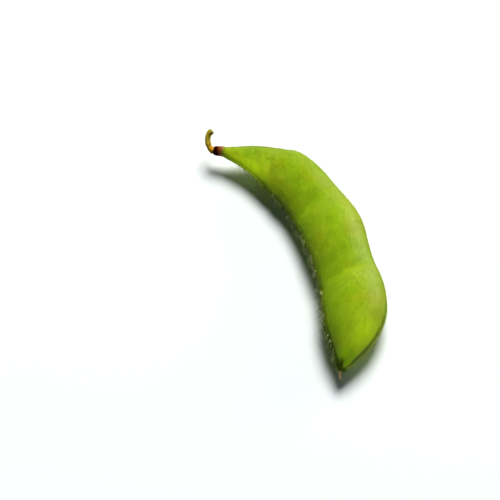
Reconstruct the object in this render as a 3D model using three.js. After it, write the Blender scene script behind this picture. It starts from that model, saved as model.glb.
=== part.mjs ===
// One green soybean (edamame) pod as picked: the pod, the dried calyx at its stem end and the short curled
// stalk. It lies on its broad side. Millimetres, +Z up; the origin is on the surface that it lies on, under
// the middle of its bounding box, and +X runs from the stalk to the beak. The pod bows towards +Y.
import * as THREE from "three";

// ---- driving dimensions ----------------------------------------------------------------------------------

// Middle line of the pod from its stem end to its beak: x and y in plan, and height above the surface.
const POD_SPINE = [
  [-25.9, -8.4, 4.3],
  [-19.2, -1.2, 4.0],
  [-10.4, 3.8, 3.9],
  [0.4, 4.5, 4.2],
  [11.4, 2.6, 4.35],
  [21.9, -1.2, 4.45],
  [30.8, -8.3, 3.7],
];

// The two sutures, where the pod's valves meet: distance along the middle line, then distance out from it.
const OUTER_EDGE = [
  [0, 1.15],
  [4, 2.6],
  [8, 4.0],
  [12, 5.4],
  [14, 6.15],
  [17, 6.1],
  [22.5, 5.6],
  [31, 6.65],
  [39.5, 6.0],
  [48, 7.0],
  [53, 6.55],
  [57, 5.1],
  [60, 3.7],
  [62.5, 2.3],
  [64, 1.35],
  [64.7, 0.6],
];
const INNER_EDGE = [
  [0, 1.1],
  [4, 2.3],
  [8, 3.9],
  [12, 5.3],
  [17, 6.4],
  [23, 6.75],
  [35, 6.75],
  [44, 6.15],
  [53, 6.1],
  [57, 5.3],
  [60, 3.75],
  [62.5, 1.95],
  [64, 1.15],
  [64.7, 0.6],
];

// Half the thickness of the empty shell at the middle line, by distance along it.
const SHELL_HALF_THICKNESS = [
  [0, 1.1],
  [4, 1.05],
  [9, 1.5],
  [14, 2.5],
  [20, 3.05],
  [40, 3.15],
  [54, 3.0],
  [58, 3.0],
  [61, 2.5],
  [63, 1.7],
  [64, 1.1],
  [64.7, 0.5],
];

// The three beans that swell the shell: place along the middle line, half length, and half thickness.
const BEANS = [
  { at: 18.6, halfLength: 8.2, thick: 3.7 },
  { at: 33.2, halfLength: 11.2, thick: 4.2 },
  { at: 51.6, halfLength: 12.6, thick: 4.4 },
];
// The creases between the beans.
const CREASES = [
  { at: 25.2, halfWidth: 1.5, depth: 0.48 },
  { at: 43.6, halfWidth: 1.4, depth: 0.46 },
];
const BEAN_SLANT = 0.38; // how far they lean to the beak for each millimetre towards the inner suture
const BEAN_FALL = 0.4; // how much of its height a bean's dome loses by the sutures, where 1 is all of it
const BEAN_EDGE = 0.5; // the higher, the less steeply the skin over a bean meets the sutures
const SKIN_TIGHTNESS = 4; // the higher, the closer the shell follows the beans' outlines
const VALVE_CURVE = 0.5; // 0.5 would make the empty shell's section an ellipse, 1 a pointed lens
const KEEL = 0.2; // width of the flat border where the two valves are joined
const SUTURE_LIP = 0.28; // radius of the raised lip on each side of a suture
const SUTURE_GROOVE = 0.15; // depth of the groove between the two lips
const TAPER = 0.3; // at the pod's thin ends, keel and groove take at most this share of its half width
const LIP_TAPER = 0.8; // and a lip's radius at most this share

// Calyx and stalk: middle lines, and radius by distance along them.
const CALYX_SPINE = [
  [-25.9, -8.4, 4.3],
  [-26.4, -9.2, 4.3],
  [-26.8, -10.1, 4.35],
];
const CALYX_RADIUS = [
  [0.25, 1.1],
  [0.95, 1.04],
  [1.35, 0.97],
  [1.65, 0.84],
];
const SEPALS = 5;
const SEPAL_RELIEF = 0.05; // height of the sepals' ridges as a share of the calyx radius
const STALK_SPINE = [
  [-26.8, -10.1, 4.35],
  [-27.6, -10.5, 4.5],
  [-28.6, -10.55, 5.0],
  [-29.5, -10.25, 5.7],
  [-30.1, -9.6, 6.3],
  [-30.2, -8.8, 6.75],
];
const STALK_RADIUS = [
  [0, 0.66],
  [0.5, 0.56],
  [1.7, 0.52],
  [1.95, 0.64],
  [2.4, 0.6],
  [4.0, 0.6],
  [4.75, 0.62],
  [4.95, 0.54],
];

const POD_RINGS = 108;
const POD_SIDES = 40;
const CALYX_RINGS = 7;
const CALYX_SIDES = 30;
const STALK_RINGS = 26;
const STALK_SIDES = 12;

// ---- curves ----------------------------------------------------------------------------------------------

// Value at distance s on a smooth curve through [distance, value] points.
function through(points, s) {
  const last = points.length - 1;
  const clamped = Math.min(Math.max(s, points[0][0]), points[last][0]);
  let i = 0;
  while (i < last - 1 && clamped >= points[i + 1][0]) i += 1;
  const gap = (k) => points[k + 1][0] - points[k][0];
  const slope = (k) => (points[k + 1][1] - points[k][1]) / gap(k);
  const tangent = (k) => {
    if (k === 0) return slope(0);
    if (k === last) return slope(last - 1);
    return (gap(k) * slope(k - 1) + gap(k - 1) * slope(k)) / (gap(k - 1) + gap(k));
  };
  const t = (clamped - points[i][0]) / gap(i);
  const [t2, t3] = [t * t, t * t * t];
  return (
    (2 * t3 - 3 * t2 + 1) * points[i][1] +
    (t3 - 2 * t2 + t) * gap(i) * tangent(i) +
    (3 * t2 - 2 * t3) * points[i + 1][1] +
    (t3 - t2) * gap(i) * tangent(i + 1)
  );
}

// A middle line that can be asked for the point and the direction at a distance along it.
function spineOf(points) {
  const curve = new THREE.CatmullRomCurve3(points.map((p) => new THREE.Vector3(...p)));
  curve.arcLengthDivisions = 1000;
  const length = curve.getLength();
  return {
    length,
    point: (s) => curve.getPointAt(THREE.MathUtils.clamp(s / length, 0, 1)),
    direction: (s) => curve.getTangentAt(THREE.MathUtils.clamp(s / length, 0, 1)),
  };
}

// Directions to the left of a middle line, level with the surface, and up from it.
function sidewaysAndUp(direction, upright) {
  const vertical = new THREE.Vector3(0, 0, 1);
  const left = new THREE.Vector3().crossVectors(vertical, direction).normalize();
  const up = upright ? vertical : new THREE.Vector3().crossVectors(direction, left).normalize();
  return { left, up };
}

// ---- surfaces --------------------------------------------------------------------------------------------

// Closed skin over a row of rings of points, with a flat cap on each end.
function skin(rings) {
  const sides = rings[0].length;
  const sumOf = (ring) => ring.reduce((sum, point) => sum.add(point), new THREE.Vector3());
  const middle = (ring) => sumOf(ring).divideScalar(sides);
  const points = [...rings.flat(), middle(rings[0]), middle(rings.at(-1))];
  const first = rings.length * sides;
  const faces = [];
  for (let j = 0; j < sides; j += 1) {
    const k = (j + 1) % sides;
    for (let i = 0; i < rings.length - 1; i += 1) {
      const [a, b] = [i * sides + j, i * sides + k];
      faces.push(a, b, a + sides, b, b + sides, a + sides);
    }
    const last = first - sides;
    faces.push(first, k, j, first + 1, last + j, last + k);
  }
  const geometry = new THREE.BufferGeometry().setFromPoints(points).setIndex(faces);
  geometry.computeVertexNormals();
  return geometry;
}

// Half the pod's thickness at s along it and v out from the middle line, where the suture is at `edge`.
function podHalfThickness(s, v, edge) {
  const across = Math.min(Math.abs(v) / (edge - Math.min(KEEL, TAPER * edge)), 1);
  const inwards = 1 - across * across;
  const slanted = s + BEAN_SLANT * v;
  const shell = through(SHELL_HALF_THICKNESS, s) * inwards ** VALVE_CURVE;
  let sum = shell ** SKIN_TIGHTNESS;
  for (const bean of BEANS) {
    const along = (slanted - bean.at) / bean.halfLength;
    const dome = Math.sqrt(Math.max(0, 1 - along * along - BEAN_FALL * across * across));
    sum += (bean.thick * dome * inwards ** BEAN_EDGE) ** SKIN_TIGHTNESS;
  }
  let half = sum ** (1 / SKIN_TIGHTNESS);
  for (const crease of CREASES) {
    const along = (slanted - crease.at) / crease.halfWidth;
    half -= crease.depth * Math.exp(-along * along) * inwards;
  }
  return half;
}

// Half thickness of the rounded lip that borders a suture, at v out from the middle line.
function lipHalfThickness(v, edge) {
  const radius = Math.min(SUTURE_LIP, LIP_TAPER * edge);
  const fromCentre = Math.abs(v) - (edge - radius);
  return Math.sqrt(Math.max(0, radius * radius - fromCentre * fromCentre));
}

function podRing(spine, s) {
  const centre = spine.point(s);
  const { left, up } = sidewaysAndUp(spine.direction(s), true);
  const ring = [];
  for (let j = 0; j < POD_SIDES; j += 1) {
    const angle = (2 * Math.PI * j) / POD_SIDES;
    const edge = through(Math.cos(angle) >= 0 ? OUTER_EDGE : INNER_EDGE, s);
    const onSuture = j === 0 || 2 * j === POD_SIDES;
    const groove = onSuture ? Math.min(SUTURE_GROOVE, TAPER * edge) : 0;
    const v = (edge - groove) * Math.cos(angle);
    const half = onSuture ? 0 : Math.max(podHalfThickness(s, v, edge), lipHalfThickness(v, edge));
    const height = Math.sign(Math.sin(angle)) * half;
    const point = centre.clone().addScaledVector(left, v).addScaledVector(up, height);
    point.z = Math.max(point.z, 0); // the beans' undersides rest on small flat spots
    ring.push(point);
  }
  return ring;
}

function podGeometry() {
  const spine = spineOf(POD_SPINE);
  const rings = [];
  for (let i = 0; i < POD_RINGS; i += 1) {
    const share = i / (POD_RINGS - 1);
    // A little closer together towards both ends, where the outline turns fastest.
    const eased = share - 0.06 * Math.sin(2 * Math.PI * share);
    rings.push(podRing(spine, eased * spine.length));
  }
  return skin(rings);
}

// Round piece of varying radius along a middle line; `relief` gives the share to add to it at an angle.
function roundGeometry(points, radii, ringCount, sides, relief = () => 0) {
  const spine = spineOf(points);
  const [start, end] = [radii[0][0], radii.at(-1)[0]];
  const rings = [];
  for (let i = 0; i < ringCount; i += 1) {
    const s = start + ((end - start) * i) / (ringCount - 1);
    const centre = spine.point(s);
    const { left, up } = sidewaysAndUp(spine.direction(s), false);
    const ring = [];
    for (let j = 0; j < sides; j += 1) {
      const angle = (2 * Math.PI * j) / sides;
      const radius = through(radii, s) * (1 + relief(angle));
      ring.push(
        centre
          .clone()
          .addScaledVector(left, radius * Math.cos(angle))
          .addScaledVector(up, radius * Math.sin(angle)),
      );
    }
    rings.push(ring);
  }
  return skin(rings);
}

// ---- pieces ----------------------------------------------------------------------------------------------

function piece(name, geometry, color, roughness) {
  const material = new THREE.MeshStandardMaterial({ color, roughness, metalness: 0 });
  const mesh = new THREE.Mesh(geometry, material);
  mesh.name = name;
  return mesh;
}

const sepalRidges = (angle) => SEPAL_RELIEF * Math.cos(SEPALS * angle);
const calyx = roundGeometry(CALYX_SPINE, CALYX_RADIUS, CALYX_RINGS, CALYX_SIDES, sepalRidges);
const stalk = roundGeometry(STALK_SPINE, STALK_RADIUS, STALK_RINGS, STALK_SIDES);

const edamame = new THREE.Group();
edamame.add(
  piece("pod", podGeometry(), 0x93b012, 0.6),
  piece("calyx", calyx, 0x3a0d08, 0.7),
  piece("stalk", stalk, 0xb8941f, 0.65),
);

export default edamame;
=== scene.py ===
import math

import bpy
import numpy as np
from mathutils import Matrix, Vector


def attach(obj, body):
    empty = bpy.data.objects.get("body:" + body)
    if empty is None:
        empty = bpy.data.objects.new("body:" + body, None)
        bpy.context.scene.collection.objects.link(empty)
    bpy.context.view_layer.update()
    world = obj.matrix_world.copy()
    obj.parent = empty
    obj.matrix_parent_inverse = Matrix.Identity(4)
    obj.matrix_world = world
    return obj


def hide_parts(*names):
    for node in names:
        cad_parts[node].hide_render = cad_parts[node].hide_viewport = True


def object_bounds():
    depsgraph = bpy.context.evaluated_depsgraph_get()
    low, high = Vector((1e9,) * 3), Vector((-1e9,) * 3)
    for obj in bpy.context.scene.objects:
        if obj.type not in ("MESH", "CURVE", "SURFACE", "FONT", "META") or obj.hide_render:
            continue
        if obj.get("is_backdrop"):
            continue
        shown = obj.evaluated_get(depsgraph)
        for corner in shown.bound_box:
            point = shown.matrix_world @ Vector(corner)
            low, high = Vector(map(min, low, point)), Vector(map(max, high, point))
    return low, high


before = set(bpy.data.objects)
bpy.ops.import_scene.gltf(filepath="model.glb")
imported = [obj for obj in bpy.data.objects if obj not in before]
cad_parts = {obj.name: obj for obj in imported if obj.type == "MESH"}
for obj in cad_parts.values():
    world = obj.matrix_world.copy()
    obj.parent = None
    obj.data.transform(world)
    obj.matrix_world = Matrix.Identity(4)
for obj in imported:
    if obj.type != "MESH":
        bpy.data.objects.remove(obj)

bl_info = {
    "name": "Edamame pod",
    "version": (1, 0, 0),
    "blender": (4, 5, 0),
    "location": "3D View > Sidebar > Edamame",
    "description": "A downy green soybean pod with its dried calyx and its curled stalk",
    "category": "Add Mesh",
}

MM = 0.001
ROOT = "root"

# ---- The pod's form, in millimetres, as its solid has it ---------------------

# Middle line from the stem end to the beak.
POD_SPINE = (
    (-25.9, -8.4, 4.3), (-19.2, -1.2, 4.0), (-10.4, 3.8, 3.9), (0.4, 4.5, 4.2),
    (11.4, 2.6, 4.35), (21.9, -1.2, 4.45), (30.8, -8.3, 3.7),
)

# The two sutures: distance along the middle line, distance out from it.
OUTER_EDGE = (
    (0, 1.15), (4, 2.6), (8, 4.0), (12, 5.4), (14, 6.15), (17, 6.1), (22.5, 5.6), (31, 6.65),
    (39.5, 6.0), (48, 7.0), (53, 6.55), (57, 5.1), (60, 3.7), (62.5, 2.3), (64, 1.35), (64.7, 0.6),
)
INNER_EDGE = (
    (0, 1.1), (4, 2.3), (8, 3.9), (12, 5.3), (17, 6.4), (23, 6.75), (35, 6.75),
    (44, 6.15), (53, 6.1), (57, 5.3), (60, 3.75), (62.5, 1.95), (64, 1.15), (64.7, 0.6),
)
# Half the thickness of the shell where it has no bean.
SHELL_HALF_THICKNESS = (
    (0, 1.1), (4, 1.05), (9, 1.5), (14, 2.5), (20, 3.05), (40, 3.15), (54, 3.0), (58, 3.0), (61, 2.5),
    (63, 1.7), (64, 1.1), (64.7, 0.5),
)
# Each bean: place along the middle line, half its length, and how far it swells the pod from its middle.
BEANS = ((18.6, 8.2, 3.7), (33.2, 11.2, 4.2), (51.6, 12.6, 4.4))
# How far a swelling slants, how fast it falls towards the sutures, and how steep it is there.
BEAN_SLANT = 0.38
BEAN_FALL = 0.4
BEAN_EDGE = 0.5
# How tightly the skin follows the beans, and how steeply the shell closes at the sutures.
SKIN_TIGHTNESS = 4
VALVE_CURVE = 0.5
# The thin keel at a suture, and the most of the pod's half width that a keel or a groove takes.
KEEL = 0.2
NARROW_SHARE = 0.3
# Creases between beans: place along the middle line, half width, depth.
CREASES = ((25.2, 1.5, 0.48), (43.6, 1.4, 0.46))

# The calyx's middle line from the stalk to the pod's stem end, and its radius by the distance along it.
CALYX_SPINE = ((-26.88, -10.25, 4.35), (-26.4, -9.2, 4.3), (-25.9, -8.4, 4.3))
CALYX_RADIUS = ((0, 0.62), (0.25, 0.82), (0.6, 0.98), (1.1, 1.04), (2.1, 1.1))
# Its lobes: turn round the collar and half width in degrees, and length past the collar.
LOBES = ((15, 38, 0.15), (88, 35, 0.3), (158, 40, 0.2), (230, 38, 0.4), (302, 39, 0.25))

# The stalk's middle line, from the calyx to its cut end, and its radius by the distance along it.
STALK_SPINE = (
    (-26.8, -10.1, 4.35), (-27.6, -10.5, 4.5), (-28.6, -10.55, 5.0),
    (-29.5, -10.25, 5.7), (-30.1, -9.6, 6.3), (-30.2, -8.8, 6.75),
)
STALK_RADIUS = (
    (0, 0.8), (0.6, 0.7), (1.5, 0.56), (1.95, 0.64), (2.4, 0.6), (4.0, 0.6), (4.8, 0.65), (5.06, 0.62),
    (5.18, 0.52), (5.23, 0.36),
)
# The dried style at the pod's tip.
STYLE_SPINE = ((30.5, -8.05, 3.7), (31.1, -8.65, 3.6), (31.8, -9.1, 3.3), (32.35, -9.3, 2.8))
STYLE_RADIUS = ((0, 0.32), (0.5, 0.3), (1.2, 0.26), (2.1, 0.19), (2.5, 0.1))


# ---- The layers of the materials ---------------------------------------------

# Noise: size in millimetres, detail and roughness.
BROAD = (7, 2, 0.5)
BLOTCHY = (6, 2, 0.5)
PATCHY = (2.2, 3, 0.6)
FINE = (0.6, 3, 0.6)
STREAKY = (0.25, 4, 0.7)
SCARRED = (0.3, 2, 0.5)
MOTTLED = (0.8, 3, 0.6)
BLEACHED = (0.6, 3, 0.5)
PAPERY = (300, 2, 0.5)
DOWNY = (2, 2, 0.5)
TAWNY = (0.4, 2, 0.5)

# A layer is a colour of the piece's settings, its share, and the masks that say where it lies. A mask is
# an attribute or a noise, as it is or with its values where the layer starts and where it is whole. On the
# pod, along is the distance from the stem end in millimetres, and across goes from -1 at the inner suture
# to 1 at the outer one.
BLOTCH_LAYERS = (
    ("ripe_and_painted_light", 1, (BROAD, 0.3, 0.7)),
    ("deep", 0.4, (PATCHY, 0.42, 0.68)),
    ("olive", 0.65, (BLOTCHY, 0.48, 0.66)),
    ("ripe_and_painted_light", 0.25, (FINE, 0.3, 0.7)),
)
# Painted light and shade over the skin's own colours, row by row: painted shade on the inner side, in the
# after the creases and along the outer side; painted light over the lower end of the third bean; painted
# shade
# creases' valleys and over the outer side of the neck and the first bean; a pale painted sheen on the rises
# on the inner side near the beak; painted light on the outer side next to the beak and over the beak end.
SIDE_LAYERS = (
    ("deep", 0.6, ("across", -0.3, -1), ("along", 6, 18)),
    ("deep", 0.25, ("valley",)),
    ("deep", 0.4, ("along", 0, 5), ("along", 25, 19), ("across", -0.5, 0.5)),
    ("painted_sheen", 0.4, ("rise",), ("across", -0.5, 0.5)),
    ("painted_sheen", 0.45, ("across", 0, 0.8), ("along", 56, 50)),
    ("ripe_and_painted_light", 0.4, ("along", 52, 57), ("across", -0.9, 0.1)),
    ("deep", 0.3, ("along", 50, 57), ("across", 0.3, -0.7)),
    ("bright", 0.85, ("along", 53, 58), ("across", -0.1, 0.7)),
    ("beak", 0.7, ("along", 60, 62.5)),
)
# The painted shade of a furrow beside a suture, where the skin has no furrow, which is faint but near the
# beak, and the margin of painted shade along it, which is pale on the outer side near the beak, dark on the
# inner side, and nearly gone on the neck's inner flank.
NEAR_BEAK = ("along", 50, 56)
FAINT_FURROW = 0.2
FURROW_SHARE = 0.65
OUTER_SIDE = ("across", -0.2, 0.2)
SHADED_MARGIN = (("across", -0.2, -0.6), ("along", 9, 17))
# Painted light on the neck's inner flank, which lifts its shade: where it lies and its share.
NECK_LIGHT_FLANK = (("across", -0.1, -0.7), ("along", 13, 7))
NECK_LIGHT_SHARE = 0.6
MARGIN_SHARE = 0.65
MARGIN_LOSS_ON_NECK = 0.5
# Painted shade in the sutures' grooves, at the beak's inner point and at its very end; then the stem end's
# brown.
END_LAYERS = (
    ("seam", 0.85, ("seam",)),
    ("seam", 1, ("along", 62.6, 63.6), ("across", 0.3, -0.3)),
    ("seam", 1, ("along", 64, 64.5)),
    ("fleck", 0.35, ("along", 1, 0.3)),
)
# Flecks: their spacing in millimetres, the shares of it at which they start and are whole, which cells have
# one, by a number from 0 to 1, and how strong they are.
FLECK_SPACING = 2.4
FLECK_RIM = (0.11, 0.05)
FLECK_CHANCE = (0.95, 0.96)
FLECK_SHARE = 0.8

# Finish: roughness, and how much the surface mirrors. Grain: size and height in millimetres, and strength.
SKIN_FINISH = (0.45, 0.5)
HAIR_FINISH = (0.6, 0.15)
CALYX_FINISH = (0.6, 0.08)
STALK_FINISH = (0.5, 0.2)
STYLE_FINISH = (0.7, 0.2)
FLOOR_FINISH = (0.9, 0.1)
SKIN_GRAIN = (0.4, 0.06, 0.35)
CALYX_GRAIN = (0.15, 0.03, 0.6)
STALK_GRAIN = (0.2, 0.03, 0.5)
# Light that goes into the skin and comes out again: its share, and how far it goes, for red, green and blue.
SKIN_GLOW = 0.15
SKIN_GLOW_LENGTH = 1.2 * MM
SKIN_GLOW_COLOURS = (0.7, 1, 0.15)

CALYX_LAYERS = (
    ("rust", 1, ("along", 0.7, 1.7)),
    ("straw", 1, ("rim", 0.7, 1), ("along", 1.4, 2.2)),
    ("maroon", 0.5, (STREAKY, 0.35, 0.65)),
    ("straw", 0.7, (SCARRED, 0.5, 0.62), ("along", 1.1, 1.7)),
)
STALK_LAYERS = (
    ("ochre", 1, ("along", 1, 2)),
    ("umber", 0.25, (MOTTLED, 0.4, 0.65)),
    ("umber", 0.35, ("ridge", 0, -1)),
    ("cut", 0.8, ("along", 4.5, 5.1)),
)
STYLE_LAYERS = (("bleached", 1, (BLEACHED, 0.3, 0.7)),)
DOWN_LAYERS = (("pale", 1, (DOWNY, 0.42, 0.58)),)
# The suture's hairs: tawny ones over near-black ones, which are painted shade between the hairs.
SUTURE_HAIR_LAYERS = (("tawny", 1, (TAWNY, 0.43, 0.59)),)
FLOOR_LAYERS = (("paper_light", 1, (PAPERY,)),)


# ---- Settings ----------------------------------------------------------------

def number(name, description, default, **more):
    return bpy.props.FloatProperty(name=name, description=description, default=default, **more)


def length(name, description, default):
    """A length in metres, given in millimetres."""
    return number(name, description, default * MM, unit="LENGTH", precision=5)


def count(name, description, default, lowest):
    return bpy.props.IntProperty(name=name, description=description, default=default, min=lowest)


def colour(name, description, default):
    return bpy.props.FloatVectorProperty(
        name=name, description=description, default=default, subtype="COLOR", size=3, min=0, max=1
    )


class PodSettings(bpy.types.PropertyGroup):
    """The pod's skin"""

    rings: count("Rings", "Rings of points along the pod", 400, 50)
    sides: count("Sides", "Points round each ring", 216, 40)
    lip: length("Suture lip", "Radius of the raised lip on each side of a suture", 0.28)
    groove: length("Suture groove", "Depth of the groove between the two lips", 0.15)
    groove_half: length("Groove half width", "Half the width of the groove", 0.08)
    swell: length("Swells", "Height of the skin's broad unevenness", 0.07)
    swell_size: length("Swell size", "Size of the skin's broad unevenness", 4.5)
    pucker: length("Puckers", "Height of the skin's small unevenness", 0.02)
    pucker_size: length("Pucker size", "Size of the skin's small unevenness", 1.3)
    fresh: colour("Fresh green", "Most of the skin", (0.3, 0.48, 0.012))
    # Yellow green: the skin's paler blotches over the beans, and painted light over the third bean's lower
    # end.
    ripe_and_painted_light: colour("Yellow green", "Where the skin is paler, over the beans", (0.43, 0.56, 0.026))
    # Deep green: darker blotches of the skin, and painted shade on the inner side, in the creases and on the
    # first bean.
    deep: colour("Deep green", "Where the skin is darker", (0.18, 0.35, 0.004))
    # Painted shade: near-black green in the sutures' grooves, in the furrows beside them, on the inner
    # margin and at the beak.
    seam: colour("Seam green", "In the sutures' grooves and at the beak", (0.02, 0.07, 0.002))
    olive: colour("Olive", "Some blotches of the skin", (0.38, 0.42, 0.008))
    # Painted shade along both sutures' edges.
    margin: colour("Margin green", "Along both sutures", (0.12, 0.2, 0.03))
    rim: colour("Pale rim", "Along the sutures next to the beak", (0.5, 0.52, 0.26))
    # Painted light: a brighter green laid over the beak end.
    beak: colour("Beak green", "The skin next to the beak", (0.36, 0.7, 0.004))
    # Painted sheen: a pale haze laid over the outer side and the rises after the creases.
    painted_sheen: colour("Bloom", "The pale bloom along the outer suture's side", (0.35, 0.43, 0.07))
    # Painted light on the outer side next to the beak and on the neck's inner flank.
    bright: colour("Bright green", "The outer suture's side next to the beak", (0.64, 0.9, 0.012))
    fleck: colour("Fleck brown", "The small flecks", (0.15, 0.08, 0.005))


class DownSettings(bpy.types.PropertyGroup):
    """The down on the pod"""

    per_area: number("Hairs", "Hairs for each square millimetre of skin", 12.0, min=0)
    hair: length("Hair length", "Mean length of the down's hairs", 0.85)
    root: length("Hair root", "Radius of a hair at its root", 0.012)
    suture_hair: length("Suture hair length", "Mean length of the hairs along the inner suture", 1.9)
    clearance: length("Clearance", "Lowest root of a hair above the surface that the pod lies on", 0.3)
    overhang: number("Overhang", "How far hairs reach past the pod, as a share of its size", 0.024)
    lean: number("Lean", "Angle of a hair from the skin, at its root", 0.45, subtype="ANGLE")
    slant: number("Slant", "Turn of the hairs from the beak towards the inner suture", 0.6, subtype="ANGLE")
    tint: colour("Down colour", "Most of the hairs", (0.36, 0.46, 0.005))
    pale: colour("Pale down", "The palest hairs", (0.5, 0.58, 0.04))
    tawny: colour("Tawny down", "Some hairs along the inner suture", (0.75, 0.8, 0.46))
    # Painted shade: near-black hairs among the tawny ones along the inner suture, for the shade between the
    # hairs.
    painted_shade_hair: colour("Dark down", "Other hairs along the inner suture", (0.02, 0.035, 0.005))


class StemSettings(bpy.types.PropertyGroup):
    """The calyx, the stalk and the style"""

    ribs: count("Ribs", "Ribs round the stalk", 6, 3)
    rib_depth: number("Rib depth", "Height of the stalk's ribs as a share of its radius", 0.08)
    wrinkle: length("Wrinkles", "Height of the unevenness of what has dried", 0.03)
    wrinkle_size: length("Wrinkle size", "Size of the unevenness of what has dried", 0.35)
    blade: length("Lobe thickness", "Thickness of the calyx lobes", 0.14)
    curl: length("Lobe curl", "How far the tips of the calyx lobes stand off the pod", 0.12)
    ochre: colour("Ochre", "The stalk", (0.66, 0.52, 0.05))
    orange: colour("Orange", "The stalk next to the calyx", (0.72, 0.38, 0.02))
    umber: colour("Umber", "The stalk's furrows", (0.2, 0.11, 0.008))
    cut: colour("Cut end", "The stalk's cut end", (0.42, 0.4, 0.12))
    bleached: colour("Bleached", "The style", (0.55, 0.47, 0.33))
    maroon: colour("Maroon", "The calyx collar", (0.045, 0.002, 0.001))
    rust: colour("Rust", "The calyx lobes", (0.36, 0.11, 0.02))
    straw: colour("Straw", "The tips of the calyx lobes", (0.55, 0.32, 0.12))


class StageSettings(bpy.types.PropertyGroup):
    """The floor, the light and the camera"""

    floor: number("Floor", "Side of the floor", 6.0, unit="LENGTH")
    paper: colour("Floor colour", "The floor", (0.9, 0.94, 0.93))
    paper_light: colour("Lighter floor", "The floor's lighter parts", (0.92, 0.96, 0.95))
    sky: number("Sky", "Strength of the light from all round", 0.042)
    sky_tint: colour("Sky tint", "Colour of the light from all round", (0.75, 0.88, 1.0))
    key_watts: number("Key light", "Watts of the light from behind", 46.0)
    side_watts: number("Side light", "Watts of the low light from the right", 8.0)
    light_size: number("Light size", "Diameter of both lights", 1.1, unit="LENGTH")
    light_distance: number("Light distance", "From both lights to the pod", 2.0, unit="LENGTH")
    lens: number("Lens", "Focal length in millimetres", 85.0)
    distance: number("Distance", "From the camera to its target", 0.24792, unit="LENGTH")
    elevation: number("Elevation", "Angle of the camera above the floor", math.radians(60), subtype="ANGLE")
    azimuth: number("Azimuth", "Turn of the camera round the pod", math.radians(65.34), subtype="ANGLE")
    target: bpy.props.FloatVectorProperty(
        name="Target", description="Point on the floor at the middle of the view", subtype="TRANSLATION",
        default=(-3.31 * MM, -12.22 * MM, 0.0),
    )


# ---- Curves and forms --------------------------------------------------------

def through(points, s):
    """Values at the distances s on a smooth curve through (distance, value) points."""
    x, y = np.array(points, float).T
    s = np.clip(s, x[0], x[-1])
    gap = np.diff(x)
    rise = np.diff(y) / gap
    inner = (gap[1:] * rise[:-1] + gap[:-1] * rise[1:]) / (gap[:-1] + gap[1:])
    slope = np.concatenate([rise[:1], inner, rise[-1:]])
    i = np.clip(np.searchsorted(x, s, side="right") - 1, 0, len(x) - 2)
    t = (s - x[i]) / gap[i]
    start = (2 * t**3 - 3 * t**2 + 1) * y[i] + (t**3 - 2 * t**2 + t) * gap[i] * slope[i]
    end = (3 * t**2 - 2 * t**3) * y[i + 1] + (t**3 - t**2) * gap[i] * slope[i + 1]
    return start + end


class Spine:
    """A centripetal curve through points, that can be asked for its points and directions by distance."""

    def __init__(self, points, steps=400):
        knots = np.array(points, float)
        knots = np.vstack([2 * knots[0] - knots[1], knots, 2 * knots[-1] - knots[-2]])
        pieces = []
        for a, b, c, d in zip(knots, knots[1:], knots[2:], knots[3:]):
            before, here, after = (np.sqrt(np.linalg.norm(q - p)) for p, q in ((a, b), (b, c), (c, d)))
            leave = ((b - a) / before - (c - a) / (before + here) + (c - b) / here) * here
            arrive = ((c - b) / here - (d - b) / (here + after) + (d - c) / after) * here
            t = np.linspace(0, 1, steps, endpoint=False)[:, None]
            hermite = (2 * t**3 - 3 * t**2 + 1) * b + (t**3 - 2 * t**2 + t) * leave
            pieces.append(hermite + (3 * t**2 - 2 * t**3) * c + (t**3 - t**2) * arrive)
        self.track = np.vstack([*pieces, knots[-2:-1]])
        steps_long = np.linalg.norm(np.diff(self.track, axis=0), axis=1)
        self.travel = np.concatenate([[0], np.cumsum(steps_long)])
        self.length = self.travel[-1]

    def point(self, s):
        return np.stack([np.interp(s, self.travel, axis) for axis in self.track.T], axis=-1)

    def direction(self, s):
        near = 0.05
        ahead = self.point(np.clip(s + near, 0, self.length))
        return unit(ahead - self.point(np.clip(s - near, 0, self.length)))

    def left(self, s):
        """The level direction to the left of the curve."""
        forward = self.direction(s)
        return unit(np.stack([-forward[..., 1], forward[..., 0], 0 * forward[..., 0]], axis=-1))


def unit(vectors):
    return vectors / np.linalg.norm(vectors, axis=-1, keepdims=True)


def bell(away, half_width):
    """1 where away is 0, falling smoothly to nothing on both sides."""
    return np.exp(-((away / half_width) ** 2))


def half_thickness(s, v, edge):
    """Half the pod's thickness at s along its middle line and v out from it, where the suture is at edge."""
    across = np.clip(np.abs(v) / (edge - np.minimum(KEEL, NARROW_SHARE * edge)), 0, 1)
    slanted = s + BEAN_SLANT * v
    inwards = 1 - across**2
    shell = through(SHELL_HALF_THICKNESS, s) * inwards**VALVE_CURVE
    total = shell**SKIN_TIGHTNESS
    for at, half_length, thick in BEANS:
        along = (slanted - at) / half_length
        swell = thick * np.sqrt(np.clip(1 - along**2 - BEAN_FALL * across**2, 0, 1)) * inwards**BEAN_EDGE
        total = total + swell**SKIN_TIGHTNESS
    half = total ** (1 / SKIN_TIGHTNESS)
    for at, half_width, depth in CREASES:
        half = half - depth * bell(slanted - at, half_width) * inwards
    return half


def round_spine(spine, s, out, up):
    """Points out to the left of the spine at s, and up from it."""
    return spine.point(s) + spine.left(s) * out[..., None] + np.array([0.0, 0.0, 1.0]) * up[..., None]


def mesh_of(name, points, faces):
    mesh = bpy.data.meshes.new(name)
    mesh.from_pydata(points.tolist(), [], faces)
    mesh.polygons.foreach_set("use_smooth", np.ones(len(mesh.polygons), bool))
    mesh.update()
    return mesh


def closed_tube(name, points):
    """A mesh over rings of points in millimetres, with its two ends closed at their middles."""
    rings, sides = points.shape[:2]
    ends = np.stack([points[0].mean(axis=0), points[-1].mean(axis=0)])
    return mesh_of(name, np.vstack([points.reshape(-1, 3), ends]) * MM, tube_faces(rings, sides))


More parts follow.
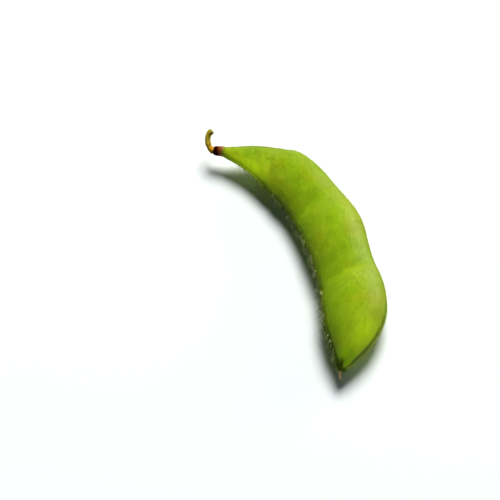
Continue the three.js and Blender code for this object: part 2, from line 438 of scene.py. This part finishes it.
def set_tube_attribute(mesh, name, field):
    """An attribute of a closed tube from its value at each place of each ring."""
    values = field.reshape(-1, *field.shape[2:])
    set_attribute(mesh, name, np.concatenate([values, values[:1], values[-1:]]))


def tube_faces(rings, sides):
    """Faces of a closed skin over rings of points, whose last two points are the middles of its two ends."""
    faces = []
    for i in range(rings - 1):
        for j in range(sides):
            k = (j + 1) % sides
            faces.append((i * sides + j, i * sides + k, (i + 1) * sides + k, (i + 1) * sides + j))
    start, end, last = rings * sides, rings * sides + 1, (rings - 1) * sides
    for j in range(sides):
        k = (j + 1) % sides
        faces.append((start, k, j))
        faces.append((end, last + j, last + k))
    return faces


def set_attribute(mesh, name, values):
    """An attribute from numbers or vectors, one for each point."""
    vectors = values.shape[1:] == (3,)
    attribute = mesh.attributes.new(name, "FLOAT_VECTOR" if vectors else "FLOAT", "POINT")
    attribute.data.foreach_set("vector" if vectors else "value", values.astype(np.float32).ravel())


def add_object(name, data):
    made = bpy.data.objects.new(name, data)
    bpy.context.scene.collection.objects.link(made)
    return made


def finish_piece(piece, material, node=None):
    """Gives the piece its material and its place on the body, and hides the CAD part that it stands for."""
    piece.data.materials.clear()
    piece.data.materials.append(material)
    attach(piece, ROOT)
    if node:
        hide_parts(node)


# ---- Node trees --------------------------------------------------------------

class Wiring:
    """Adds nodes to a tree: inputs are values or the sockets that feed them."""

    def __init__(self, tree):
        self.tree = tree

    def add(self, kind, inputs=None, **settings):
        node = self.tree.nodes.new(kind)
        for key, value in settings.items():
            setattr(node, key, value)
        for key, value in (inputs or {}).items():
            if isinstance(value, bpy.types.NodeSocket):
                self.tree.links.new(value, node.inputs[key])
            else:
                node.inputs[key].default_value = value
        return node

    def made(self, kind, inputs=None, **settings):
        """What a new node gives first."""
        return self.add(kind, inputs, **settings).outputs[0]

    def math(self, operation, *values):
        return self.made("ShaderNodeMath", dict(enumerate(values)), operation=operation)

    def product(self, *values):
        """The values multiplied together."""
        result = values[0]
        for value in values[1:]:
            result = self.math("MULTIPLY", result, value)
        return result

    def vector(self, operation, *values):
        return self.made("ShaderNodeVectorMath", dict(enumerate(values)), operation=operation)

    def scaled(self, vector, factor):
        return self.made("ShaderNodeVectorMath", {0: vector, "Scale": factor}, operation="SCALE")

    def ramp(self, value, low, high):
        """0 to 1 as the value goes from low to high, smoothly."""
        inputs = {"Value": value, "From Min": low, "From Max": high}
        return self.made("ShaderNodeMapRange", inputs, interpolation_type="SMOOTHSTEP")


# Where a mix of colours has its two colours and its result.
MIXED_COLOURS = (6, 7)
MIX_RESULT = 2


class Surface(Wiring):
    """The nodes of a material, with its Principled shader."""

    def __init__(self, name, finish, **values):
        self.material = bpy.data.materials.new(name)
        self.material.use_nodes = True
        super().__init__(self.material.node_tree)
        self.shader = self.tree.nodes["Principled BSDF"]
        self.place = self.add("ShaderNodeTexCoord").outputs["Object"]
        for key, value in {"Roughness": finish[0], "Specular IOR Level": finish[1], **values}.items():
            self.shader.inputs[key.replace("_", " ")].default_value = value

    def noise(self, size, detail, roughness):
        """Noise from 0 to 1 with features of a size in millimetres."""
        inputs = {"Vector": self.place, "Scale": 1 / (size * MM), "Detail": detail, "Roughness": roughness}
        return self.made("ShaderNodeTexNoise", inputs)

    def attribute(self, name):
        return self.add("ShaderNodeAttribute", attribute_name=name).outputs["Fac"]

    def mask(self, source, *limits):
        """An attribute by its name, or noise, as it is or as it goes from 0 to 1 between two limits."""
        value = self.attribute(source) if isinstance(source, str) else self.noise(*source)
        return self.ramp(value, *limits) if limits else value

    def mix(self, factor, first, second):
        """The first colour, turned into the second as the factor goes from 0 to 1."""
        inputs = {"Factor": factor}
        for key, value in zip(MIXED_COLOURS, (first, second)):
            inputs[key] = value if isinstance(value, bpy.types.NodeSocket) else (*value, 1)
        return self.add("ShaderNodeMix", inputs, data_type="RGBA").outputs[MIX_RESULT]

    def laid(self, tone, colour, share, *masks):
        """The tone with a share of a colour laid over it where the masks are 1."""
        return self.mix(self.product(*masks, share), tone, colour)

    def layered(self, tone, look, layers):
        """The tone with layers over it in turn: each is a colour of the look, a share, and masks."""
        for name, share, *masks in layers:
            tone = self.laid(tone, getattr(look, name), share, *(self.mask(*mask) for mask in masks))
        return tone

    def tint(self, tone):
        self.tree.links.new(tone, self.shader.inputs["Base Color"])

    def roughen(self, size, height, strength):
        """Fine grain in the shading, of a size and a height in millimetres."""
        grain = self.noise(size, detail=4, roughness=0.6)
        inputs = {"Height": grain, "Distance": height * MM, "Strength": strength}
        normal = self.add("ShaderNodeBump", inputs).outputs["Normal"]
        self.tree.links.new(normal, self.shader.inputs["Normal"])


def layered_material(name, look, first, layers, finish, grain=None):
    """A first colour with layers over it, with a finish and perhaps a grain."""
    coat = Surface(name, finish)
    coat.tint(coat.layered(first, look, layers))
    if grain:
        coat.roughen(*grain)
    return coat.material


class Grower(Wiring):
    """A Geometry Nodes tree with named inputs, which ends in Realize Instances and Set Material."""

    def __init__(self, name, **inputs):
        super().__init__(bpy.data.node_groups.new(name, "GeometryNodeTree"))
        self.tree.is_modifier = True
        face = self.tree.interface
        face.new_socket("Geometry", in_out="INPUT", socket_type="NodeSocketGeometry")
        for key, kind in {**inputs, "Material": "Material"}.items():
            face.new_socket(key.replace("_", " "), in_out="INPUT", socket_type="NodeSocket" + kind)
        face.new_socket("Geometry", in_out="OUTPUT", socket_type="NodeSocketGeometry")
        self.given = self.add("NodeGroupInput").outputs

    def position(self):
        return self.made("GeometryNodeInputPosition")

    def named(self, name, kind="FLOAT"):
        return self.made("GeometryNodeInputNamedAttribute", {"Name": name}, data_type=kind)

    def moved(self, geometry, **where):
        """The geometry with its points at a Position, or moved by an Offset."""
        return self.made("GeometryNodeSetPosition", {"Geometry": geometry, **where})

    def roughened(self, geometry, height, size, detail):
        """The geometry with its points moved along their normals by noise of a height and a size."""
        scale = self.math("DIVIDE", 1.0, size)
        inputs = {"Vector": self.position(), "Scale": scale, "Detail": detail}
        noise = self.made("ShaderNodeTexNoise", inputs)
        lift = self.product(self.math("SUBTRACT", noise, 0.5), self.product(height, 2.0))
        return self.moved(geometry, Offset=self.scaled(self.made("GeometryNodeInputNormal"), lift))

    def end(self, geometry):
        """Closes the tree: what it has grown, realized and with its material."""
        realized = self.made("GeometryNodeRealizeInstances", {"Geometry": geometry})
        inputs = {"Geometry": realized, "Material": self.given["Material"]}
        self.add("NodeGroupOutput", {"Geometry": self.made("GeometryNodeSetMaterial", inputs)})
        return self.tree


def grow(name, base, tree, **values):
    """A new plain mesh object: the result of the tree on the base object, which is left as it is."""
    worker = add_object(name + "_worker", base)
    modifier = worker.modifiers.new("grow", "NODES")
    modifier.node_group = tree
    for key, value in values.items():
        socket = tree.interface.items_tree[key.replace("_", " ")]
        modifier[socket.identifier] = value
    bpy.context.view_layer.update()
    graph = bpy.context.evaluated_depsgraph_get()
    mesh = bpy.data.meshes.new_from_object(worker.evaluated_get(graph), depsgraph=graph)
    mesh.name = name
    worker.modifiers.remove(modifier)
    bpy.data.objects.remove(worker)
    return add_object(name, mesh)


# ---- The pod -----------------------------------------------------------------

# How strongly the rings crowd towards both ends of the pod.
RING_CROWDING = 0.06
# The largest share of the way out to a suture that its lip takes.
LIP_SHARE = 0.8
# The painted shade of a furrow beside a suture, where the skin has no furrow: its distance from it in lip
# radii, and its half width in millimetres.
FURROW_PLACE = 1.4
FURROW_HALF_WIDTH = 0.26
# The margin of painted shade along a suture: its half height and its width in millimetres.
MARGIN_HALF_HEIGHT = 0.5
MARGIN_WIDTH = 1
# The painted sheen on the rise after a crease: its distance from it and its half width in millimetres.
RISE_PLACE = 2.6
RISE_HALF_WIDTH = 1.8
# How fine the noise is that makes the skin's broad and its small unevenness.
SWELL_DETAIL = 1.0
PUCKER_DETAIL = 3.0


def pod_section(s, angle, lip_radius):
    """How far out and up the skin is, and how far out its edge, at s along the pod and an angle round it."""
    edge = np.where(np.cos(angle) >= 0, through(OUTER_EDGE, s), through(INNER_EDGE, s))
    out = edge * np.cos(angle)
    lip = np.minimum(lip_radius, LIP_SHARE * edge)
    within = np.abs(out) - (edge - lip)
    lip_half = np.where(within > 0, np.sqrt(np.clip(lip**2 - within**2, 0, None)), 0)
    half = np.maximum(half_thickness(s, out, edge), lip_half)
    at_suture = np.isclose(np.sin(angle), 0)
    return out, np.sign(np.sin(angle)) * np.where(at_suture, 0, half), edge


def pod_skin_mesh(look):
    """The pod's skin: rings of points round the middle line, with lips and a groove at both sutures."""
    spine = Spine(POD_SPINE)
    share = np.linspace(0, 1, look.rings)[:, None]
    s = (share - RING_CROWDING * np.sin(2 * np.pi * share)) * spine.length
    angle = (np.arange(look.sides) * 2 * np.pi / look.sides)[None, :]
    s, angle = np.broadcast_arrays(s, angle)
    lip = look.lip / MM
    out, up, edge = pod_section(s, angle, lip)
    notch = bell(up, look.groove_half / MM)
    furrow_shade = bell(edge - np.abs(out) - FURROW_PLACE * lip, FURROW_HALF_WIDTH) * (1 - notch)
    out = out - np.sign(out) * np.minimum(look.groove / MM, NARROW_SHARE * edge) * notch
    points = round_spine(spine, s, out, up)
    points[..., 2] = np.maximum(points[..., 2], 0)
    mesh = closed_tube("pod_skin", points)
    slanted = s + BEAN_SLANT * out
    fields = {
        "along": s,
        "across": out / edge,
        # Masks for painted shade in the grooves, the furrows, the margins and the creases' valleys, and for
        # painted sheen on the rises.
        "seam": notch,
        "furrow_shade": furrow_shade,
        "margin": bell(up, MARGIN_HALF_HEIGHT) * (edge - np.abs(out) < MARGIN_WIDTH),
        "valley": sum(bell(slanted - at, half_width) for at, half_width, _ in CREASES),
        "rise": sum(bell(slanted - at - RISE_PLACE, RISE_HALF_WIDTH) for at, _, _ in CREASES),
        "travel": spine.direction(s),
        "side": spine.left(s),
    }
    for name, field in fields.items():
        set_tube_attribute(mesh, name, field)
    return mesh


def relief_tree():
    """Raises a skin by two scales of noise, and keeps it above the surface that the pod lies on."""
    relief = Grower(
        "Relief", Swell_height="Float", Swell_size="Float", Pucker_height="Float", Pucker_size="Float"
    )
    given = relief.given
    skin = relief.roughened(given["Geometry"], given["Swell height"], given["Swell size"], SWELL_DETAIL)
    skin = relief.roughened(skin, given["Pucker height"], given["Pucker size"], PUCKER_DETAIL)
    parts = relief.add("ShaderNodeSeparateXYZ", {0: relief.position()}).outputs
    above = relief.math("MAXIMUM", parts["Z"], 0.0)
    kept = relief.made("ShaderNodeCombineXYZ", {"X": parts["X"], "Y": parts["Y"], "Z": above})
    return relief.end(relief.moved(skin, Position=kept))


def skin_material(look):
    skin = Surface(
        "pod skin", SKIN_FINISH, Subsurface_Weight=SKIN_GLOW,
        Subsurface_Scale=SKIN_GLOW_LENGTH, Subsurface_Radius=SKIN_GLOW_COLOURS,
    )
    tone = skin.layered(look.fresh, look, BLOTCH_LAYERS)
    inputs = {"Vector": skin.place, "Scale": 1 / (FLECK_SPACING * MM)}
    cells = skin.add("ShaderNodeTexVoronoi", inputs).outputs
    speck = skin.ramp(cells["Distance"], *FLECK_RIM)
    chance = skin.made("ShaderNodeSeparateColor", {"Color": cells["Color"]})
    chosen = skin.ramp(chance, *FLECK_CHANCE)
    tone = skin.laid(tone, look.fleck, FLECK_SHARE, speck, chosen)
    # Painted light, shade and sheen laid over the skin's own colours.
    tone = skin.layered(tone, look, SIDE_LAYERS)
    # The painted shade of a furrow beside each suture, strongest near the beak.
    near_beak = skin.mask(*NEAR_BEAK)
    furrow_shade = skin.product(skin.mask("furrow_shade"), skin.math("ADD", near_beak, FAINT_FURROW))
    tone = skin.laid(tone, look.seam, FURROW_SHARE, furrow_shade)
    # The margins: painted shade along both sutures, a pale rim on the outer side near the beak, and
    # near-black painted shade on the inner side.
    edging = skin.laid(look.margin, look.rim, 1.0, near_beak, skin.mask(*OUTER_SIDE))
    edging = skin.laid(edging, look.seam, 1.0, *(skin.mask(*mask) for mask in SHADED_MARGIN))
    # Painted light on the neck's inner flank, where most of the margins' painted shade gives way.
    neck = skin.product(*(skin.mask(*mask) for mask in NECK_LIGHT_FLANK))
    tone = skin.laid(tone, look.bright, NECK_LIGHT_SHARE, neck)
    share = skin.math("SUBTRACT", MARGIN_SHARE, skin.product(neck, MARGIN_LOSS_ON_NECK))
    tone = skin.laid(tone, edging, share, skin.mask("margin"))
    # Painted shade in the grooves and at the beak, and the stem end's brown.
    skin.tint(skin.layered(tone, look, END_LAYERS))
    skin.roughen(*SKIN_GRAIN)
    return skin.material


class EDAMAME_OT_pod(bpy.types.Operator):
    """Add the pod's skin, with its swellings over the beans, its creases and its sutures"""

    bl_idname = "edamame.pod"
    bl_label = "Pod"

    def execute(self, context):
        look = context.scene.edamame_pod
        material = skin_material(look)
        piece = grow(
            "pod_skin", pod_skin_mesh(look), relief_tree(),
            Swell_height=look.swell, Swell_size=look.swell_size,
            Pucker_height=look.pucker, Pucker_size=look.pucker_size, Material=material,
        )
        finish_piece(piece, material, node="pod")
        return {"FINISHED"}


# ---- The down ----------------------------------------------------------------

# The short down's pieces: name, side of the pod and seed.
DOWN_SIDES = (("down_upper", 1, 3), ("down_lower", -1, 4))
# Length at the stem end that has no down, in millimetres.
BARE_NECK = 0.8
# The most that hairs turn from their direction, in radians, and how far their tips bend down, in root radii.
SHORT_HAIRS = {"Wander": 0.7, "Curl": 10.0}
# The same for the suture's hairs, with their angle from the skin and their seed.
SUTURE_HAIRS = {"Lean": 1.0, "Wander": 1.3, "Curl": 12.0, "Seed": 5}
# The suture's hairs against the down: their number and their thickness.
SUTURE_HAIR_COUNT = 0.42
SUTURE_HAIR_THICKNESS = 4.3
# They grow where across is less than this, along is more than this, and the skin faces up by this much.
SUTURE_HAIR_ACROSS = -0.84
SUTURE_HAIR_START = 3
SUTURE_HAIR_FACING = (-0.5, 0.35)
# How much the lean and the length vary, and a stream of random numbers for each thing that varies.
LEAN_SPREAD = (0.6, 1.4)
LENGTH_SPREAD = (0.6, 1.35)
TURN_STREAM, LEAN_STREAM, LENGTH_STREAM = 11, 12, 13
# Least part of a hair's direction along an axis that counts when it is kept inside its box.
LEAST_PART = 0.05


def down_tree():
    """Hairs over a skin by its cover attribute, lying along its flow attribute and kept inside a box."""
    down = Grower(
        "Down", Hairs_per_area="Float", Hair_length="Float", Root_radius="Float", Lean="Float",
        Wander="Float", Curl="Float", Lowest="Vector", Highest="Vector", Seed="Int",
    )
    given = down.given

    def random(low, high, stream):
        inputs = {2: low, 3: high, "Seed": stream}
        return down.add("FunctionNodeRandomValue", inputs, data_type="FLOAT").outputs[1]

    density = down.product(given["Hairs per area"], down.named("cover"))
    inputs = {"Mesh": given["Geometry"], "Seed": given["Seed"], "Density": density}
    scatter = down.add("GeometryNodeDistributePointsOnFaces", inputs)
    out = scatter.outputs["Normal"]
    flow = down.named("flow", "FLOAT_VECTOR")
    rise = down.add("ShaderNodeVectorMath", {0: flow, 1: out}, operation="DOT_PRODUCT").outputs["Value"]
    level = down.vector("NORMALIZE", down.vector("SUBTRACT", flow, down.scaled(out, rise)))
    turn = down.product(given["Wander"], random(-1.0, 1.0, TURN_STREAM))
    inputs = {"Vector": level, "Axis": out, "Angle": turn}
    level = down.made("ShaderNodeVectorRotate", inputs, rotation_type="AXIS_ANGLE")
    lean = down.product(given["Lean"], random(*LEAN_SPREAD, LEAN_STREAM))
    lying = down.scaled(level, down.math("COSINE", lean))
    aim = down.vector("ADD", lying, down.scaled(out, down.math("SINE", lean)))
    inputs = {"Primary Axis": aim, "Secondary Axis": out}
    turned = down.made("FunctionNodeAxesToRotation", inputs, primary_axis="Z", secondary_axis="X")

    inputs = {"Vertices": 3, "Side Segments": 2, "Radius Top": 0.0, "Radius Bottom": 1.0, "Depth": 1.0}
    hair = down.made("GeometryNodeMeshCone", inputs, fill_type="NGON")
    height = down.add("ShaderNodeSeparateXYZ", {0: down.position()}).outputs["Z"]
    sag = down.product(down.math("POWER", height, 2.0), down.product(given["Curl"], -1.0))
    hair = down.moved(hair, Offset=down.made("ShaderNodeCombineXYZ", {"X": sag}))
    long = down.product(given["Hair length"], random(*LENGTH_SPREAD, LENGTH_STREAM))
    place = down.position()
    for gap, way in (
        (down.vector("SUBTRACT", given["Highest"], place), aim),
        (down.vector("SUBTRACT", place, given["Lowest"]), down.scaled(aim, -1.0)),
    ):
        room = down.vector("DIVIDE", gap, down.vector("MAXIMUM", way, (LEAST_PART,) * 3))
        parts = down.add("ShaderNodeSeparateXYZ", {0: room}).outputs
        for axis in ("X", "Y", "Z"):
            long = down.math("MINIMUM", long, parts[axis])
    thick = given["Root radius"]
    size = down.made("ShaderNodeCombineXYZ", {"X": thick, "Y": thick, "Z": long})
    inputs = {"Points": scatter.outputs["Points"], "Instance": hair, "Rotation": turned, "Scale": size}
    return down.end(down.made("GeometryNodeInstanceOnPoints", inputs))


def read(rows, key="value"):
    """What each of the rows has under a key: a number, or a vector."""
    vectors = key != "value"
    values = np.empty(len(rows) * (3 if vectors else 1), np.float32)
    rows.foreach_get(key, values)
    return values.reshape(-1, 3) if vectors else values


def grow_down(name, skin, cover, flow, material, **values):
    """Hairs where cover says, lying along flow, as one piece."""
    base = skin.copy()
    set_attribute(base, "cover", cover)
    set_attribute(base, "flow", flow)
    piece = grow(name, base, down_tree(), Material=material, **values)
    finish_piece(piece, material)


class EDAMAME_OT_down(bpy.types.Operator):
    """Cover the pod with down: short hairs lying towards the beak, and longer ones along the inner suture"""

    bl_idname = "edamame.down"
    bl_label = "Down"

    def execute(self, context):
        look = context.scene.edamame_down
        skin = bpy.data.objects["pod_skin"].data
        material = layered_material("down", look, look.tint, DOWN_LAYERS, HAIR_FINISH)
        along, across = (read(skin.attributes[name].data) for name in ("along", "across"))
        travel, side = (read(skin.attributes[name].data, "vector") for name in ("travel", "side"))
        clear = (read(skin.vertices, "co")[:, 2] > look.clearance) & (along > BARE_NECK)
        lowest, highest = (np.array(corner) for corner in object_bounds())
        margin = look.overhang * (highest - lowest)
        room = {"Lowest": (*(lowest - margin)[:2], 0.0), "Highest": tuple(highest + margin)}
        slanting = travel * math.cos(look.slant) - side * math.sin(look.slant)
        upward = read(skin.vertex_normals, "vector")[:, 2]
        for name, half, seed in DOWN_SIDES:
            grow_down(
                name, skin, clear * (upward * half > 0), slanting, material,
                Hairs_per_area=look.per_area / MM**2, Hair_length=look.hair,
                Root_radius=look.root, Lean=look.lean, Seed=seed, **SHORT_HAIRS, **room,
            )
        near_suture = (across < SUTURE_HAIR_ACROSS) & (along > SUTURE_HAIR_START)
        facing = (upward > SUTURE_HAIR_FACING[0]) & (upward < SUTURE_HAIR_FACING[1])
        # The suture's hairs: tawny over near-black, which is painted shade between the hairs.
        material = layered_material("tawny down", look, look.painted_shade_hair, SUTURE_HAIR_LAYERS, HAIR_FINISH)
        grow_down(
            "suture_hairs", skin, near_suture & facing & clear, travel, material,
            Hairs_per_area=SUTURE_HAIR_COUNT * look.per_area / MM**2, Hair_length=look.suture_hair,
            Root_radius=SUTURE_HAIR_THICKNESS * look.root, **SUTURE_HAIRS, **room,
        )
        return {"FINISHED"}


# ---- The calyx, the stalk and the style --------------------------------------

# The calyx: points round it, rows of points on each of its two faces, and where it lies on the neck.
CALYX_SIDES = 150
CALYX_ROWS = 34
NECK_STOPS = (1.2, 2.4, 3.6)
# How far the rim lies past the collar between the lobes, and how round the lobes are.
RIM_PAST_COLLAR = 0.05
LOBE_ROUNDNESS = 0.8
# Its thickness at the stalk and its height above the pod underneath, as shares of the lobes' thickness,
# and how late it thins towards the rim.
THICK_AT_STALK = 1.1
UNDERSIDE = 0.1
THINNING = 4
# The length past the collar over which the lobes rise from the pod.
CURL_LENGTH = 1.2
# Its lengthwise folds: height and number round it, and the length from the stalk over which they come in.
DEEP_FOLD = (0.035, 13)
FINE_FOLD = (0.02, 29)
FOLD_LENGTH = 0.6
# How unevenly the deep folds are spaced, how often that repeats, and how fast the fine ones wind round.
FOLD_DRIFT = 1.5
FOLD_REPEATS = 3
FOLD_TWIST = 3
# Its small wrinkles against its broad ones.
FINE_WRINKLES = 0.3
# Points along the stalk and the style, points round both, and how fine the noise is that wrinkles them.
STALK_STEPS = 90
STYLE_STEPS = 30
TUBE_SIDES = 60
WRINKLE_DETAIL = 3.0
STYLE_RIBS = 3


def lobe_reach(angle):
    """How far the calyx's lobes reach past its collar, at angles round it."""
    lobe = np.zeros(len(angle))
    for turn, half_width, reach in LOBES:
        away = np.abs((angle - math.radians(turn) + np.pi) % (2 * np.pi) - np.pi)
        share = np.clip(1 - away / math.radians(half_width), 0, 1)
        lobe = np.maximum(lobe, reach * share**LOBE_ROUNDNESS)
    return lobe


def folds(angle, s):
    """How far the calyx's folds stand out at an angle round it and s along it."""
    deep, deep_count = DEEP_FOLD
    fine, fine_count = FINE_FOLD
    drift = FOLD_DRIFT * np.sin(FOLD_REPEATS * angle)
    height = deep * np.sin(deep_count * angle + drift) + fine * np.sin(fine_count * angle + FOLD_TWIST * s)
    return height * np.clip(s, 0, FOLD_LENGTH)


def calyx_mesh(look, lip_radius):
    """The dried calyx: a collar over the pod's stem end, with lobes on the neck, folded over at the rim."""
    pod = Spine(POD_SPINE)
    spine = Spine((*CALYX_SPINE, *(tuple(pod.point(s)) for s in NECK_STOPS)))
    collar = Spine(CALYX_SPINE).length
    angle = np.arange(CALYX_SIDES) * 2 * np.pi / CALYX_SIDES
    rim = collar + RIM_PAST_COLLAR + lobe_reach(angle)
    share = np.linspace(0, 1, CALYX_ROWS)[:, None]
    s = np.vstack([share * rim, rim + share * (collar - rim)])
    angle = np.broadcast_to(angle, s.shape)
    blade = look.blade / MM
    raised = np.vstack([blade * (THICK_AT_STALK - share**THINNING), UNDERSIDE * blade + 0 * share])
    lifted = look.curl / MM * np.clip((s - collar) / CURL_LENGTH, 0, 1) ** 2
    out, up, _ = pod_section(np.clip(s - collar, 0, None), angle, lip_radius)
    on_pod = np.hypot(out, up) + raised + lifted
    on_collar = np.minimum(through(CALYX_RADIUS, s), on_pod)
    radius = np.where(s > collar, on_pod, on_collar) + folds(angle, s)
    points = round_spine(spine, s, radius * np.cos(angle), radius * np.sin(angle))
    mesh = closed_tube("calyx", points)
    set_tube_attribute(mesh, "along", s)
    set_tube_attribute(mesh, "rim", s / rim)
    return mesh


def path_mesh(name, knots, radii, steps):
    """Points along a curve joined by edges, with how far along they are and how thick the tube is there."""
    spine = Spine(knots)
    s = np.linspace(0, spine.length, steps)
    mesh = bpy.data.meshes.new(name)
    mesh.from_pydata((spine.point(s) * MM).tolist(), [(i, i + 1) for i in range(steps - 1)], [])
    set_attribute(mesh, "along", s)
    set_attribute(mesh, "thick", through(radii, s) * MM)
    return mesh


def tube_tree():
    """A ribbed tube with closed ends round a path, as thick as its thick attribute says."""
    ribbed = Grower(
        "Ribbed tube", Ribs="Int", Rib_depth="Float", Wrinkle_height="Float", Wrinkle_size="Float"
    )
    given = ribbed.given
    path = ribbed.made("GeometryNodeMeshToCurve", {"Mesh": given["Geometry"]})
    circle = ribbed.made("GeometryNodeCurvePrimitiveCircle", {"Resolution": TUBE_SIDES, "Radius": 1.0})
    turn = ribbed.product(ribbed.made("GeometryNodeSplineParameter"), 2 * math.pi)
    ridge = ribbed.math("COSINE", ribbed.product(turn, given["Ribs"]))
    width = ribbed.math("ADD", 1.0, ribbed.product(ridge, given["Rib depth"]))
    inputs = {"Geometry": circle, "Name": "ridge", "Value": ridge}
    circle = ribbed.made("GeometryNodeStoreNamedAttribute", inputs, data_type="FLOAT")
    circle = ribbed.moved(circle, Position=ribbed.scaled(ribbed.position(), width))
    thick = ribbed.named("thick")
    inputs = {"Curve": path, "Profile Curve": circle, "Scale": thick, "Fill Caps": True}
    tube = ribbed.made("GeometryNodeCurveToMesh", inputs)
    tube = ribbed.made("GeometryNodeSetShadeSmooth", {"Geometry": tube, "Shade Smooth": True})
    return ribbed.end(ribbed.roughened(tube, given["Wrinkle height"], given["Wrinkle size"], WRINKLE_DETAIL))


class EDAMAME_OT_stem(bpy.types.Operator):
    """Add the dried calyx, the curled stalk and the dried style at the pod's tip"""

    bl_idname = "edamame.stem"
    bl_label = "Calyx, stalk and style"

    def execute(self, context):
        look = context.scene.edamame_stem
        material = layered_material(
            "dried calyx", look, look.maroon, CALYX_LAYERS, CALYX_FINISH, CALYX_GRAIN
        )
        calyx = grow(
            "calyx_skin", calyx_mesh(look, context.scene.edamame_pod.lip / MM), relief_tree(),
            Swell_height=look.wrinkle, Swell_size=look.wrinkle_size,
            Pucker_height=FINE_WRINKLES * look.wrinkle, Pucker_size=FINE_WRINKLES * look.wrinkle_size,
            Material=material,
        )
        finish_piece(calyx, material, node="calyx")
        tree = tube_tree()
        material = layered_material("stalk", look, look.orange, STALK_LAYERS, STALK_FINISH, STALK_GRAIN)
        stalk = grow(
            "stalk_skin", path_mesh("stalk", STALK_SPINE, STALK_RADIUS, STALK_STEPS), tree,
            Ribs=look.ribs, Rib_depth=look.rib_depth, Wrinkle_height=look.wrinkle,
            Wrinkle_size=2 * look.wrinkle_size, Material=material,
        )
        finish_piece(stalk, material, node="stalk")
        material = layered_material("dried style", look, look.umber, STYLE_LAYERS, STYLE_FINISH)
        style = grow(
            "style", path_mesh("style", STYLE_SPINE, STYLE_RADIUS, STYLE_STEPS), tree,
            Ribs=STYLE_RIBS, Rib_depth=look.rib_depth, Wrinkle_height=look.wrinkle,
            Wrinkle_size=look.wrinkle_size, Material=material,
        )
        finish_piece(style, material)
        return {"FINISHED"}


# ---- Stage -------------------------------------------------------------------

# Where the lights stand: turn from the camera's right towards the back, and height, in degrees.
KEY_PLACE = (78, 53)
SIDE_PLACE = (38, 14)
# The camera's film in millimetres, and how near and how far it sees in metres.
FILM_WIDTH = 36.0
SIGHT = (0.01, 20.0)


def stand(name, data, place, way):
    """A light or a camera at a place, which looks a way."""
    made = add_object(name, data)
    made.location = place
    made.rotation_mode = "QUATERNION"
    made.rotation_quaternion = way.to_track_quat("-Z", "Y")
    return made


class EDAMAME_OT_stage(bpy.types.Operator):
    """Add the pale floor, the soft studio light and the camera"""

    bl_idname = "edamame.stage"
    bl_label = "Stage"

    def execute(self, context):
        look = context.scene.edamame_stage
        half = look.floor / 2
        corners = half * np.array([[-1, -1, 0], [1, -1, 0], [1, 1, 0], [-1, 1, 0]])
        floor = add_object("floor", mesh_of("floor", corners, [(0, 1, 2, 3)]))
        paper = layered_material("floor", look, look.paper, FLOOR_LAYERS, FLOOR_FINISH)
        floor.data.materials.append(paper)
        floor.visible_glossy = False
        floor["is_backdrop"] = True

        world = bpy.data.worlds.new("studio")
        context.scene.world = world
        world.use_nodes = True
        sky = world.node_tree.nodes["Background"]
        sky.inputs["Color"].default_value = (*look.sky_tint, 1)
        sky.inputs["Strength"].default_value = look.sky
        world.cycles_visibility.glossy = False

        toward = Vector((math.sin(look.azimuth), -math.cos(look.azimuth), 0))
        right = Vector((math.cos(look.azimuth), math.sin(look.azimuth), 0))
        up = Vector((0, 0, 1))
        target = Vector(look.target)
        lamps = (("key", KEY_PLACE, look.key_watts), ("side", SIDE_PLACE, look.side_watts))
        for name, angles, watts in lamps:
            turn, height = (math.radians(angle) for angle in angles)
            level = right * math.cos(turn) - toward * math.sin(turn)
            place = target + look.light_distance * (level * math.cos(height) + up * math.sin(height))
            lamp = bpy.data.lights.new(name, "AREA")
            lamp.shape = "DISK"
            lamp.size = look.light_size
            lamp.energy = watts
            made = stand(name, lamp, place, target - place)
            made.visible_camera = False
            made.visible_glossy = name == "side"

        camera = bpy.data.cameras.new("camera")
        camera.lens = look.lens
        camera.sensor_width = FILM_WIDTH
        camera.clip_start, camera.clip_end = SIGHT
        back = toward * math.cos(look.elevation) + up * math.sin(look.elevation)
        eye = stand("camera", camera, target + look.distance * back, -back)
        context.scene.camera = eye
        context.scene.view_settings.view_transform = "Standard"
        context.scene.view_settings.look = "Medium High Contrast"
        return {"FINISHED"}


# ---- Add-on ------------------------------------------------------------------

class EDAMAME_PT_panel(bpy.types.Panel):
    """Everything that makes the edamame pod"""

    bl_idname = "EDAMAME_PT_panel"
    bl_label = "Edamame pod"
    bl_space_type = "VIEW_3D"
    bl_region_type = "UI"
    bl_category = "Edamame"

    def draw(self, context):
        for name, operator in zip(SETTINGS, OPERATORS):
            group = getattr(context.scene, name)
            box = self.layout.box()
            for key in group.__annotations__:
                box.prop(group, key)
            box.operator(operator.bl_idname)


SETTINGS = {
    "edamame_pod": PodSettings,
    "edamame_down": DownSettings,
    "edamame_stem": StemSettings,
    "edamame_stage": StageSettings,
}
OPERATORS = (EDAMAME_OT_pod, EDAMAME_OT_down, EDAMAME_OT_stem, EDAMAME_OT_stage)
CLASSES = (*SETTINGS.values(), *OPERATORS, EDAMAME_PT_panel)


def register():
    for made in CLASSES:
        bpy.utils.register_class(made)
    for name, group in SETTINGS.items():
        setattr(bpy.types.Scene, name, bpy.props.PointerProperty(type=group))


def unregister():
    for name in SETTINGS:
        delattr(bpy.types.Scene, name)
    for made in reversed(CLASSES):
        bpy.utils.unregister_class(made)


def main():
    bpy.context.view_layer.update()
    register()
    bpy.ops.edamame.pod()
    bpy.ops.edamame.down()
    bpy.ops.edamame.stem()
    bpy.ops.edamame.stage()


if __name__ == "__main__":
    main()
